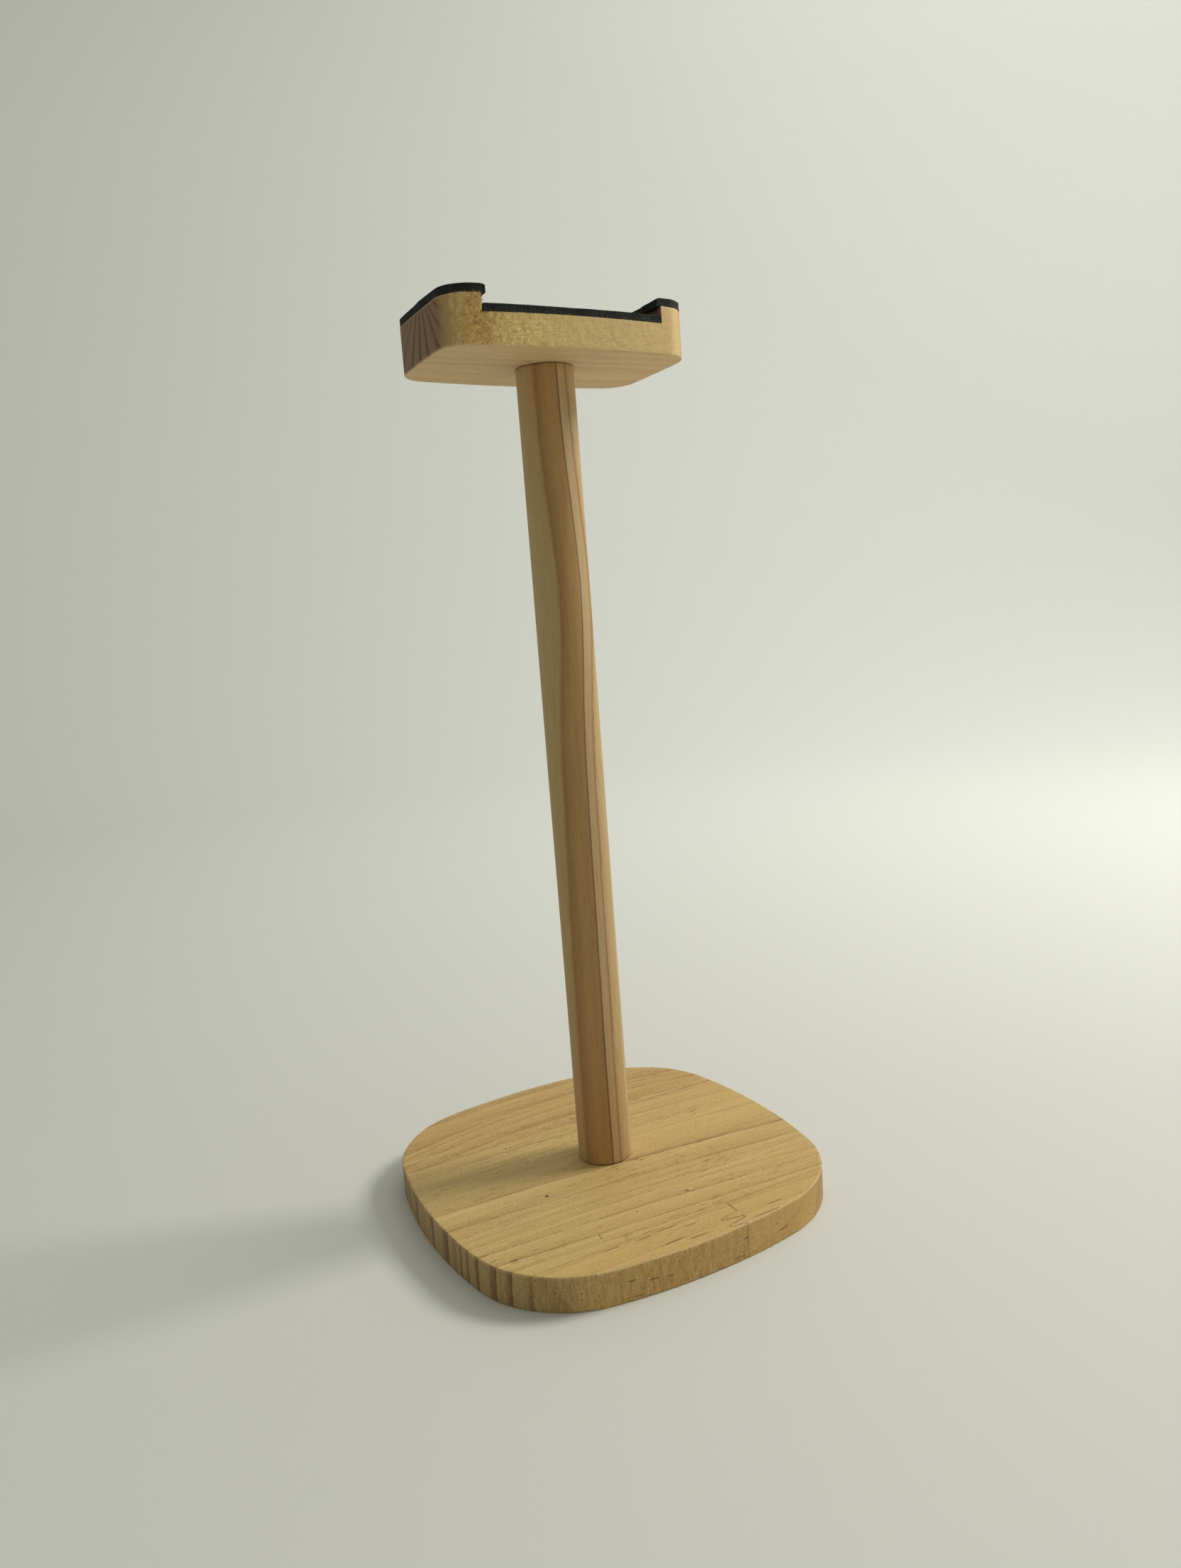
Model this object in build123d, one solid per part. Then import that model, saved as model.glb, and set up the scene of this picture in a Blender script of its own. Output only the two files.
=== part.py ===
from build123d import *
import os
from math import sqrt

# A headphone stand: a pine base glued up from strips, a round post, and a saddle with foam pads.
# A countersunk screw at each end clamps the boards to brass inserts in the post.
# Sizes are in millimetres. X runs along the grain and from ear to ear, -Y is the front, +Z is up.
# The origin is on the floor, in the middle of the base.

# Base
BASE_WIDTH = 110.0
BASE_DEPTH = 110.0
BASE_THICKNESS = 9.3
BASE_SIDE_RADIUS = 151.0
BASE_CORNER_RADIUS = 31.3
BASE_EDGE_ROUND = 0.4

# Strips of the base, measured in from its front and its rear
FRONT_STAVE_WIDTH = 11.6
REAR_STAVE_WIDTH = 31.6

# Finger joint in the front strip; its fingers point left and its last flank runs out at the front edge
FINGER_COUNT = 2
FINGER_PITCH = 3.6
FINGER_TIP = 0.65
FINGER_TIP_X = 6.8
FINGER_ROOT_X = 12.4
FINGER_RUNOUT_X = 11.0
FINGER_FROM_FRONT = 1.8

# Post
POST_DIAMETER = 15.4
POST_LENGTH = 220.0
POST_EDGE_CHAMFER = 0.25

# Saddle and its channel for the headband
SADDLE_LENGTH = 68.8
SADDLE_DEPTH = 41.5
SADDLE_THICKNESS = 12.1
SADDLE_END_RADIUS = 336.0
SADDLE_SIDE_RADIUS = 239.0
SADDLE_CORNER_RADIUS = 7.8
SADDLE_EDGE_ROUND = 0.3
CHANNEL_WIDTH = 50.0
CHANNEL_DEPTH = 4.4

# Foam pads
FOAM_THICKNESS = 2.0
EAR_PAD_OVERHANG = 1.2
CHANNEL_PAD_CLEARANCE = 0.3

# Countersunk screws, with a 90 degree head and a hexagon socket
SCREW_DIAMETER = 5.0
SCREW_LENGTH = 20.0
SCREW_PITCH = 0.8
SCREW_THREAD_DEPTH = 0.45
SCREW_PLAIN_SHANK = 1.2
SCREW_HEAD_DIAMETER = 10.0
SCREW_HEAD_RIM = 0.3
SCREW_HEAD_RECESS = 0.3
SCREW_SOCKET_ACROSS_FLATS = 3.0
SCREW_SOCKET_DEPTH = 1.9
SCREW_HOLE_CLEARANCE = 0.25
SCREW_SEAT_CLEARANCE = 0.05

# Threaded inserts in the post's ends
INSERT_DIAMETER = 8.0
INSERT_LENGTH = 13.0
INSERT_RECESS = 0.5
INSERT_RIB_PITCH = 2.0
INSERT_RIB_DEPTH = 0.5
INSERT_SLOT_WIDTH = 1.0
INSERT_SLOT_DEPTH = 1.2
INSERT_FIT_CLEARANCE = 0.05
THREAD_CLEARANCE = 0.1
BORE_TIP_CLEARANCE = 3.0

# Heights and places that follow from the sizes
front_joint_y = -BASE_DEPTH / 2 + FRONT_STAVE_WIDTH
rear_joint_y = BASE_DEPTH / 2 - REAR_STAVE_WIDTH
post_bottom = BASE_THICKNESS
saddle_bottom = post_bottom + POST_LENGTH
saddle_top = saddle_bottom + SADDLE_THICKNESS
channel_floor = saddle_top - CHANNEL_DEPTH
saddle_web = SADDLE_THICKNESS - CHANNEL_DEPTH
screw_radius = SCREW_DIAMETER / 2
head_radius = SCREW_HEAD_DIAMETER / 2
insert_radius = INSERT_DIAMETER / 2


def bulged_rectangle(width, depth, end_radius, side_radius, corner_radius):
    """Face with shallow arcs for sides and tangent arcs for corners, centred on the origin.

    end_radius belongs to the sides that face along X, side_radius to those that face along Y."""
    end_centre = Vector(width / 2 - end_radius, 0)
    side_centre = Vector(0, depth / 2 - side_radius)
    end_reach = end_radius - corner_radius
    side_reach = side_radius - corner_radius
    # The corner's centre is where circles of the two reaches cross
    apart = (side_centre - end_centre).length
    along = (end_reach**2 - side_reach**2 + apart**2) / (2 * apart)
    across = sqrt(end_reach**2 - along**2)
    direction = (side_centre - end_centre) / apart
    centre = end_centre + direction * along + Vector(-direction.Y, direction.X) * across
    on_end = end_centre + (centre - end_centre) * (end_radius / end_reach)
    on_side = side_centre + (centre - side_centre) * (side_radius / side_reach)
    middle = centre + ((on_end + on_side) / 2 - centre).normalized() * corner_radius

    edges = []
    for sign in (-1, 1):
        end, side = on_end * sign, on_side * sign
        edges.append(ThreePointArc((end.X, -end.Y), (sign * width / 2, 0), (end.X, end.Y)))
        edges.append(ThreePointArc((-side.X, side.Y), (0, sign * depth / 2), (side.X, side.Y)))
        for mirror in (-1, 1):
            corner = [(sign * mirror * point.X, sign * point.Y) for point in (on_end, middle, on_side)]
            edges.append(ThreePointArc(*corner))
    return make_face(edges)


def block(x_range, y_range, z_range):
    """Box between two limits along each axis."""
    low = [limits[0] for limits in (x_range, y_range, z_range)]
    size = [limits[1] - limits[0] for limits in (x_range, y_range, z_range)]
    return Pos(*low) * Box(*size, align=(Align.MIN, Align.MIN, Align.MIN))


def revolved(profile):
    """Solid turned about Z from (radius, height) points."""
    outline = make_face(Polyline(*[(radius, 0, height) for radius, height in profile], close=True))
    return revolve(outline, Axis.Z)


def screw_hole(through):
    """Countersink at z = 0 and clearance hole upwards, to be cut out of a board of that thickness."""
    hole_radius = screw_radius + SCREW_HOLE_CLEARANCE
    mouth_radius = head_radius + SCREW_HEAD_RECESS + SCREW_HEAD_RIM + SCREW_SEAT_CLEARANCE
    cone_depth = mouth_radius - hole_radius
    profile = [(0, 0), (mouth_radius, 0), (hole_radius, cone_depth), (hole_radius, through), (0, through)]
    return revolved(profile)


def countersunk_screw():
    """Screw whose head faces down, set in from z = 0 by its recess, with its tip upwards."""
    top = SCREW_HEAD_RECESS
    rim_end = top + SCREW_HEAD_RIM
    cone_end = rim_end + head_radius - screw_radius
    tip = top + SCREW_LENGTH
    crest = screw_radius
    root = screw_radius - SCREW_THREAD_DEPTH
    profile = [(0, top), (head_radius, top), (head_radius, rim_end), (screw_radius, cone_end)]
    height = cone_end + SCREW_PLAIN_SHANK
    profile.append((screw_radius, height))
    while height + SCREW_PITCH < tip - SCREW_THREAD_DEPTH:
        profile.append((root, height + SCREW_PITCH / 2))
        height += SCREW_PITCH
        profile.append((crest, height))
    profile += [(root, tip), (0, tip)]
    socket = Pos(0, 0, top) * extrude(
        RegularPolygon(SCREW_SOCKET_ACROSS_FLATS / 2, 6, major_radius=False), SCREW_SOCKET_DEPTH
    )
    return revolved(profile) - socket


def threaded_insert():
    """Slotted insert with ribs outside, its mouth at z = 0, reaching upwards."""
    bore = screw_radius + THREAD_CLEARANCE
    root = insert_radius - INSERT_RIB_DEPTH
    profile = [(bore, 0), (root, 0)]
    height = INSERT_RIB_PITCH / 2
    while height + INSERT_RIB_PITCH / 2 < INSERT_LENGTH:
        profile.append((root, height))
        profile.append((insert_radius, height + INSERT_RIB_PITCH / 4))
        profile.append((insert_radius, height + INSERT_RIB_PITCH / 2))
        profile.append((root, height + INSERT_RIB_PITCH / 2))
        height += INSERT_RIB_PITCH
    profile += [(root, INSERT_LENGTH), (bore, INSERT_LENGTH)]
    slot = block(
        (-INSERT_DIAMETER, INSERT_DIAMETER),
        (-INSERT_SLOT_WIDTH / 2, INSERT_SLOT_WIDTH / 2),
        (0, INSERT_SLOT_DEPTH),
    )
    return revolved(profile) - slot


def insert_bore(board_thickness):
    """Blind bore for an insert and the screw's tip, up from z = 0 at the post's end."""
    screw_reach = SCREW_HEAD_RECESS + SCREW_LENGTH - board_thickness
    depth = max(INSERT_RECESS + INSERT_LENGTH, screw_reach) + BORE_TIP_CLEARANCE
    return Cylinder(
        insert_radius + INSERT_FIT_CLEARANCE, depth, align=(Align.CENTER, Align.CENTER, Align.MIN)
    )


def turned_over(shape, height):
    """The shape upside down, with its z = 0 at that height."""
    return Pos(0, 0, height) * Rot(180, 0, 0) * shape


def finger_line():
    """Points of the finger joint, from past the front edge back to the front strip's glue line."""
    flank = FINGER_PITCH / 2 - FINGER_TIP
    height = -BASE_DEPTH / 2 + FINGER_FROM_FRONT
    slope = (FINGER_ROOT_X - FINGER_TIP_X) / flank
    runout = height - (FINGER_RUNOUT_X - FINGER_TIP_X) / slope
    points = [(FINGER_RUNOUT_X, -BASE_DEPTH), (FINGER_RUNOUT_X, runout)]
    for finger in range(FINGER_COUNT):
        points.append((FINGER_TIP_X, height))
        points.append((FINGER_TIP_X, height + FINGER_TIP))
        points.append((FINGER_ROOT_X, height + FINGER_TIP + flank))
        if finger < FINGER_COUNT - 1:
            points.append((FINGER_ROOT_X, height + 2 * FINGER_TIP + flank))
        height += FINGER_PITCH
    points.append((FINGER_ROOT_X, front_joint_y))
    return points


def base_pieces():
    """The base's board, split along its glue lines."""
    outline = bulged_rectangle(
        BASE_WIDTH, BASE_DEPTH, BASE_SIDE_RADIUS, BASE_SIDE_RADIUS, BASE_CORNER_RADIUS
    )
    board = extrude(outline, BASE_THICKNESS)
    rims = board.edges().filter_by(Plane.XY)
    board = fillet(rims, BASE_EDGE_ROUND)
    across = (-BASE_WIDTH, BASE_WIDTH)
    through = (0, BASE_THICKNESS)
    front = board & block(across, (-BASE_DEPTH, front_joint_y), through)
    middle = board & block(across, (front_joint_y, rear_joint_y), through)
    rear = board & block(across, (rear_joint_y, BASE_DEPTH), through)
    left_side = [(-BASE_WIDTH, front_joint_y), (-BASE_WIDTH, -BASE_DEPTH)]
    left_region = extrude(make_face(Polyline(*finger_line(), *left_side, close=True)), BASE_THICKNESS)
    return {
        "base_stave_front_left": front & left_region,
        "base_stave_front_right": front - left_region,
        "base_stave_middle": middle - screw_hole(BASE_THICKNESS),
        "base_stave_rear": rear,
    }


def post():
    """Round dowel with a blind bore for an insert in each end."""
    dowel = Pos(0, 0, post_bottom) * Cylinder(
        POST_DIAMETER / 2, POST_LENGTH, align=(Align.CENTER, Align.CENTER, Align.MIN)
    )
    dowel = chamfer(dowel.edges().filter_by(GeomType.CIRCLE), POST_EDGE_CHAMFER)
    lower = Pos(0, 0, post_bottom) * insert_bore(BASE_THICKNESS)
    upper = turned_over(insert_bore(saddle_web), saddle_bottom)
    return dowel - lower - upper


def saddle_outline():
    return bulged_rectangle(
        SADDLE_LENGTH, SADDLE_DEPTH, SADDLE_END_RADIUS, SADDLE_SIDE_RADIUS, SADDLE_CORNER_RADIUS
    )


def saddle():
    """Block with a channel across it and a screw hole in the channel's floor."""
    body = Pos(0, 0, saddle_bottom) * extrude(saddle_outline(), SADDLE_THICKNESS)
    body = fillet(body.edges().filter_by(Plane.XY), SADDLE_EDGE_ROUND)
    half_channel = CHANNEL_WIDTH / 2
    channel = block(
        (-half_channel, half_channel), (-SADDLE_DEPTH, SADDLE_DEPTH), (channel_floor, saddle_top)
    )
    return body - channel - turned_over(screw_hole(saddle_web), channel_floor)


def foam_pad(x_range, height):
    """Foam cut to the saddle's outline between two places along it."""
    sheet = Pos(0, 0, height) * extrude(saddle_outline(), FOAM_THICKNESS)
    return sheet & block(x_range, (-SADDLE_DEPTH, SADDLE_DEPTH), (height, height + FOAM_THICKNESS))


def pads():
    inner = CHANNEL_WIDTH / 2 - EAR_PAD_OVERHANG
    reach = CHANNEL_WIDTH / 2 - CHANNEL_PAD_CLEARANCE
    return {
        "ear_pad_left": foam_pad((-SADDLE_LENGTH, -inner), saddle_top),
        "ear_pad_right": foam_pad((inner, SADDLE_LENGTH), saddle_top),
        "channel_pad": foam_pad((-reach, reach), channel_floor),
    }


def fasteners():
    lower_insert = Pos(0, 0, post_bottom + INSERT_RECESS) * threaded_insert()
    return {
        "base_screw": countersunk_screw(),
        "saddle_screw": turned_over(countersunk_screw(), channel_floor),
        "post_insert_lower": lower_insert,
        "post_insert_upper": turned_over(threaded_insert(), saddle_bottom - INSERT_RECESS),
    }


pieces = {**base_pieces(), "post": post(), "saddle": saddle(), **pads(), **fasteners()}
os.makedirs("parts", exist_ok=True)
for name, shape in pieces.items():
    export_step(shape, f"parts/{name}.step")
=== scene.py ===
import math
import random

import bmesh
import bpy
import numpy as np
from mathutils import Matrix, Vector, noise


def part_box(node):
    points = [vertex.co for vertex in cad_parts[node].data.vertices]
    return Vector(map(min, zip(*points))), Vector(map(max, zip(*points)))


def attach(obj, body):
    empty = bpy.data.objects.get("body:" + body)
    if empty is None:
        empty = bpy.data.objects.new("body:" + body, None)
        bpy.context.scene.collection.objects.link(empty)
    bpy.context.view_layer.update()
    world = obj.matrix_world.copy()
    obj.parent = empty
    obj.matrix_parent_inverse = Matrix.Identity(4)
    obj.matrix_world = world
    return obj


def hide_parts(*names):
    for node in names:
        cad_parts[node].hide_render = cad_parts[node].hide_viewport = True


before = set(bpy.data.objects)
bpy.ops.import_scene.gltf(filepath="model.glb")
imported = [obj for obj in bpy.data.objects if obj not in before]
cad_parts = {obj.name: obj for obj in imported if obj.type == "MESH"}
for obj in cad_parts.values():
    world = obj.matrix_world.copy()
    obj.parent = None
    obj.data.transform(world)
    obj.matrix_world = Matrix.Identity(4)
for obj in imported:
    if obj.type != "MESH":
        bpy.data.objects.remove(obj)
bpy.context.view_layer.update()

# The stand's looks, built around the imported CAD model. Shapes are worked out in millimetres in the
# model's own frame and written to meshes in metres: X runs along the grain, -Y is the front, +Z is up.
MM = 0.001
BODY = "root"
SHARP_DEGREES = 50


def box_mm(node):
    """Lowest and highest corner of a CAD node, in millimetres."""
    low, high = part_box(node)
    return np.array(low) / MM, np.array(high) / MM


middle_low, middle_high = box_mm("base_stave_middle")
saddle_low, saddle_high = box_mm("saddle")
channel_pad_low, channel_pad_high = box_mm("channel_pad")
ear_pad_low, ear_pad_high = box_mm("ear_pad_right")
post_low, post_high = box_mm("post")

BASE_HALF = middle_high[0]
BASE_TOP = middle_high[2]
FRONT_GLUE_Y = middle_low[1]
REAR_GLUE_Y = middle_high[1]
BASE_SIDE_RADIUS = 151.0
BASE_CORNER_RADIUS = 31.3
BASE_EASE = 0.4

SADDLE_HALF_LENGTH = saddle_high[0]
SADDLE_HALF_DEPTH = 20.75
SADDLE_BOTTOM = saddle_low[2]
SADDLE_TOP = saddle_high[2]
SADDLE_END_RADIUS = 336.0
SADDLE_SIDE_RADIUS = 239.0
SADDLE_CORNER_RADIUS = 7.8
SADDLE_EASE = 0.35
CHANNEL_FLOOR = channel_pad_low[2]
CHANNEL_HALF = 25.0

POST_RADIUS = post_high[0]

# Zigzag of the front strip's finger joint, from the glue line to the front edge
FINGER_ROOT_X, FINGER_TIP_X, FINGER_RUNOUT_X = 12.4, 6.8, 11.0
FINGER_PITCH, FINGER_TIP, FINGER_FROM_FRONT = 3.6, 0.65, 1.8


class Outline:
    """Rounded rectangle with shallow arcs for sides and tangent arcs for corners, centred on the post."""

    def __init__(self, half_x, half_y, end_radius, side_radius, corner_radius):
        self.half_x, self.half_y = half_x, half_y
        self.end_radius, self.side_radius, self.corner_radius = end_radius, side_radius, corner_radius
        self.end_centre = half_x - end_radius
        self.side_centre = half_y - side_radius
        end_reach, side_reach = end_radius - corner_radius, side_radius - corner_radius
        apart = math.hypot(self.end_centre, self.side_centre)
        along = (end_reach**2 - side_reach**2 + apart**2) / (2 * apart)
        across = math.sqrt(end_reach**2 - along**2)
        ux, uy = -self.end_centre / apart, self.side_centre / apart
        self.corner_x = self.end_centre + ux * along - uy * across
        self.corner_y = uy * along + ux * across
        self.end_y = self.corner_y * end_radius / end_reach
        self.side_y = self.side_centre + (self.corner_y - self.side_centre) * side_radius / side_reach

    def half_width(self, y):
        """How far the outline reaches along X at each y."""
        y = np.minimum(np.abs(y), self.half_y)
        end = self.end_centre + np.sqrt(np.maximum(self.end_radius**2 - y**2, 0))
        corner = self.corner_x + np.sqrt(np.maximum(self.corner_radius**2 - (y - self.corner_y) ** 2, 0))
        side = np.sqrt(np.maximum(self.side_radius**2 - (y - self.side_centre) ** 2, 0))
        return np.where(y <= self.end_y, end, np.where(y <= self.side_y, corner, side))

    def depth(self, x, y):
        """How far inside the outline each point is."""
        x, y = np.abs(x), np.abs(y)
        inside = np.minimum(
            self.end_radius - np.hypot(x - self.end_centre, y),
            self.side_radius - np.hypot(x, y - self.side_centre),
        )
        dx, dy = x - self.corner_x, y - self.corner_y
        end_side = (self.corner_x - self.end_centre) * dy - self.corner_y * dx
        side_side = dx * (self.corner_y - self.side_centre) - dy * self.corner_x
        in_corner = (end_side > 0) & (side_side > 0)
        return np.where(in_corner, self.corner_radius - np.hypot(dx, dy), inside)

    def ends(self, y):
        """Where the outline starts and stops along X at one y."""
        half = float(self.half_width(np.array([y]))[0])
        return -half, half

    def outward(self, x, y):
        """Unit vector that points out of the nearest edge."""
        step = 0.01
        gx = self.depth(x - step, y) - self.depth(x + step, y)
        gy = self.depth(x, y - step) - self.depth(x, y + step)
        length = np.maximum(np.hypot(gx, gy), 1e-9)
        return gx / length, gy / length

    def pushed(self, points, push):
        """Points moved out of the nearest edge by push."""
        x, y, z = points.T
        out_x, out_y = self.outward(x, y)
        return np.stack([x + out_x * push, y + out_y * push, z], 1)

    def turned(self):
        """The same outline with X and Y exchanged."""
        return Outline(self.half_y, self.half_x, self.side_radius, self.end_radius, self.corner_radius)

    def rows(self, step):
        """Places along Y that put points about one step apart along the whole edge."""
        corner_from = math.asin((self.end_y - self.corner_y) / self.corner_radius)
        corner_to = math.asin(min(1.0, (self.side_y - self.corner_y) / self.corner_radius))
        angles = np.arange(corner_from, corner_to, step / self.corner_radius)
        side_x = np.arange(0, self.half_width(self.side_y + 1e-6), step)
        side = self.side_centre + np.sqrt(self.side_radius**2 - side_x**2)
        half = np.concatenate(
            [np.arange(0, self.end_y, step), self.corner_y + self.corner_radius * np.sin(angles), side]
        )
        return np.unique(np.concatenate([-half, half]))


base_outline = Outline(BASE_HALF, BASE_HALF, BASE_SIDE_RADIUS, BASE_SIDE_RADIUS, BASE_CORNER_RADIUS)
saddle_outline = Outline(
    SADDLE_HALF_LENGTH, SADDLE_HALF_DEPTH, SADDLE_END_RADIUS, SADDLE_SIDE_RADIUS, SADDLE_CORNER_RADIUS
)
saddle_across = saddle_outline.turned()


def wave(points, scale, seed=0.0):
    """Smooth noise from about -1 to 1 at each point; scale is cycles per millimetre along X, Y and Z."""
    scaled = np.asarray(points, float) * np.asarray(scale, float) + seed
    return np.array([noise.noise(Vector(p)) for p in scaled]) * 1.6


def thinned(places, gap, keep_last=False):
    """Sorted places without those that follow another by the gap or less."""
    keep = np.concatenate([[True], np.diff(places) > gap])
    keep[-1] |= keep_last
    return places[keep]


def spaced(low, high, pitch, near=()):
    """Places from low to high about one pitch apart, with fine steps by each place in near."""
    fine = np.array([0.04, 0.1, 0.2, 0.36, 0.6])
    places = [np.linspace(low, high, max(2, int(round((high - low) / pitch)) + 1))]
    for place in near:
        places += [place + fine, place - fine, [place]]
    places = np.unique(np.concatenate(places))
    return thinned(places[(places >= low) & (places <= high)], 0.012, keep_last=True)


def plate(rows, ends, columns, top, bottom, levels):
    """Closed shell over rows of points: vertices, and faces as lists of their indices.

    rows holds (u, height) pairs; rows that share a u make a step. ends(u) gives where a row starts and
    stops along v, columns how it is divided, from 0 to 1 or as a function of its length. top and bottom
    give z at (u, v, height), and levels the heights between them where the walls are divided."""
    points, grids = [], []
    for surface in (top, bottom):
        grid = []
        for u, height in rows:
            low, high = ends(u)
            v = low + (high - low) * columns(high - low)
            z = surface(np.full_like(v, u), v, height)
            grid.append(range(len(points), len(points) + len(v)))
            points += list(zip(np.full_like(v, u), v, z))
        grids.append(grid)
    upper, lower = grids
    faces = []
    for grid, flip in ((upper, False), (lower, True)):
        for a, b in zip(grid, grid[1:]):
            for j in range(len(a) - 1):
                quad = (a[j], b[j], b[j + 1], a[j + 1])
                faces.append(quad[::-1] if flip else quad)

    def wall_column(top_index, bottom_index):
        """Indices down the wall from a point of the top to the one under it."""
        x, y, z_high = points[top_index]
        z_low = points[bottom_index][2]
        column = [top_index]
        for level in sorted(levels, reverse=True):
            if z_low + 0.02 < level < z_high - 0.02:
                column.append(len(points))
                points.append((x, y, level))
        return column + [bottom_index]

    def wall(edge, flip):
        """Faces of a wall along an edge of (top, bottom) index pairs."""
        columns_down = [wall_column(*pair) for pair in edge]
        for a, b in zip(columns_down, columns_down[1:]):
            if abs(points[a[0]][0] - points[b[0]][0]) + abs(points[a[0]][1] - points[b[0]][1]) < 1e-6:
                continue
            for (a0, a1), (b0, b1) in paired(a, b, points):
                ring = [a0, b0, b1, a1]
                ring = [p for i, p in enumerate(ring) if p != ring[i - 1]]
                if len(ring) > 2:
                    faces.append(ring[::-1] if flip else ring)

    wall([(upper[i][0], lower[i][0]) for i in range(len(rows))], True)
    wall([(upper[i][-1], lower[i][-1]) for i in range(len(rows))], False)
    wall([(upper[0][j], lower[0][j]) for j in range(len(upper[0]))], False)
    wall([(upper[-1][j], lower[-1][j]) for j in range(len(upper[-1]))], True)
    return np.array(points), faces


def paired(a, b, points):
    """Steps down two wall columns side by side, where one may have more levels than the other."""
    i = j = 0
    while i < len(a) - 1 or j < len(b) - 1:
        next_a = points[a[i + 1]][2] if i < len(a) - 1 else -1e9
        next_b = points[b[j + 1]][2] if j < len(b) - 1 else -1e9
        last = i >= len(a) - 2 and j >= len(b) - 2
        both = abs(next_a - next_b) < 0.3 or last
        step_a = 1 if i < len(a) - 1 and (both or next_a > next_b) else 0
        step_b = 1 if j < len(b) - 1 and (both or next_b > next_a) else 0
        yield (a[i], a[i + step_a]), (b[j], b[j + step_b])
        i, j = i + step_a, j + step_b


def eased(depth, radius):
    """How far a rounded edge drops below its face, at a depth inside the outline."""
    reach = np.clip(radius - depth, 0, radius)
    return radius - np.sqrt(np.maximum(radius**2 - reach**2, 0))


def mesh_of(name, points, faces):
    """Mesh from points in millimetres, with doubled points welded and faces turned outwards."""
    mesh = bpy.data.meshes.new(name)
    mesh.from_pydata([tuple(p) for p in np.asarray(points) * MM], [], [list(f) for f in faces])
    work = bmesh.new()
    work.from_mesh(mesh)
    bmesh.ops.remove_doubles(work, verts=work.verts, dist=0.002 * MM)
    bmesh.ops.dissolve_degenerate(work, edges=work.edges, dist=0.001 * MM)
    bmesh.ops.recalc_face_normals(work, faces=work.faces)
    work.to_mesh(mesh)
    work.free()
    return mesh


def placed(name, data):
    """New object in the scene that shows the data."""
    thing = bpy.data.objects.new(name, data)
    bpy.context.scene.collection.objects.link(thing)
    return thing


def carved(mesh, cutter):
    """The mesh with the cutter's volume taken out of it."""
    piece, tool = placed("carved", mesh), placed("cutter", cutter)
    step = piece.modifiers.new("carve", "BOOLEAN")
    step.operation, step.solver, step.object = "DIFFERENCE", "EXACT", tool
    bpy.context.view_layer.update()
    result = bpy.data.meshes.new_from_object(piece.evaluated_get(bpy.context.evaluated_depsgraph_get()))
    for thing in (piece, tool):
        bpy.data.objects.remove(thing)
    return result


def make_piece(name, mesh, shape, material, stands_for):
    """Object on the stand's body. shape takes the mesh's points in millimetres and returns them moved,
    with the float attributes that the material reads."""
    points = np.array([v.co for v in mesh.vertices]) / MM
    points, attributes = shape(points)
    mesh.vertices.foreach_set("co", (points * MM).astype(np.float32).ravel())
    for label, values in attributes.items():
        mesh.attributes.new(label, "FLOAT", "POINT").data.foreach_set("value", np.asarray(values, np.float32))
    mesh.shade_smooth()
    mesh.set_sharp_from_angle(angle=math.radians(SHARP_DEGREES))
    mesh.materials.clear()
    mesh.materials.append(material)
    piece = placed(name, mesh)
    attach(piece, BODY)
    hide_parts(*stands_for)
    return piece


def revolved(profile, around):
    """Points round the Z axis at each (radius, z) of the profile, and the faces between them."""
    angles = [2 * math.pi * k / around for k in range(around)]
    points = [(radius * math.cos(a), radius * math.sin(a), z) for radius, z in profile for a in angles]
    faces = []
    for i in range(len(profile) - 1):
        for k in range(around):
            a, b = i * around + k, i * around + (k + 1) % around
            faces.append((a, b, b + around, a + around))
    return points, faces


# ---- grain of the wood

# Dark growth lines, each a shallow curve: how bold it is at the left and the right end of its board, then
# its y at the left end, in the middle and at the right end
MIDDLE_LINES = (
    (0.3, 0.3, 33, 30, 24),
    (0.3, 0.3, 25, 24.5, 19.5),
    (0.45, 0.5, 18, 17.5, 13),
    (0.5, 0.3, 9, 10, 6),
    (0.2, 0.5, 2, 4.5, 0),
    (0.7, 1.0, -4, -8, -14.5),
    (0.8, 0.7, -13.5, -17.5, -23),
    (0.3, 0.2, -18, -21, -27),
    (0.8, 0.4, -21, -24, -30.5),
    (0.6, 0.5, -24.5, -27, -33.5),
    (0.8, 0.7, -29, -32.5, -37),
    (0.95, 0.8, -35, -38.5, -42),
    (0.8, 0.6, -39, -42, -45),
    (0.9, 0.6, -44, -47, -50),
)
REAR_LINES = (
    (0.6, 0.6, 58, 62.5, 57),
    (0.6, 0.9, 45, 50.5, 46.5),
    (0.9, 0.7, 32, 42, 36),
    (0.7, 0.6, 29.5, 39.5, 33),
    (0.7, 0.8, 25.5, 35.5, 28.5),
    (0.8, 1.0, 20, 29, 19),
    (0.4, 0.6, 13, 21.5, 12),
)
FRONT_LINES = (
    (0.2, 0.2, -36, -37, -35),
    (0.3, 0.3, -46, -44.5, -46),
    (0.2, 0.3, -53.5, -50.5, -51),
    (0.2, 0.2, -62, -60, -61),
)
SADDLE_LINES = (
    (0.35, 0.45, 40, 40, 40),
    (0.35, 0.45, 31, 31, 31),
    (0.4, 0.45, 24, 24, 24),
    (0.4, 0.8, 13.5, 15.5, 15),
    (0.5, 0.9, 4.5, 8, 8),
    (0.8, 0.6, -1.5, -4, -5),
    (0.55, 0.75, -7, -8.5, -10),
    (0.5, 0.9, -14, -15, -15.5),
    (0.5, 0.8, -19.5, -20, -21),
    (0.5, 0.5, -30, -30, -30),
    (0.5, 0.5, -42, -42, -42),
)


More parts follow.
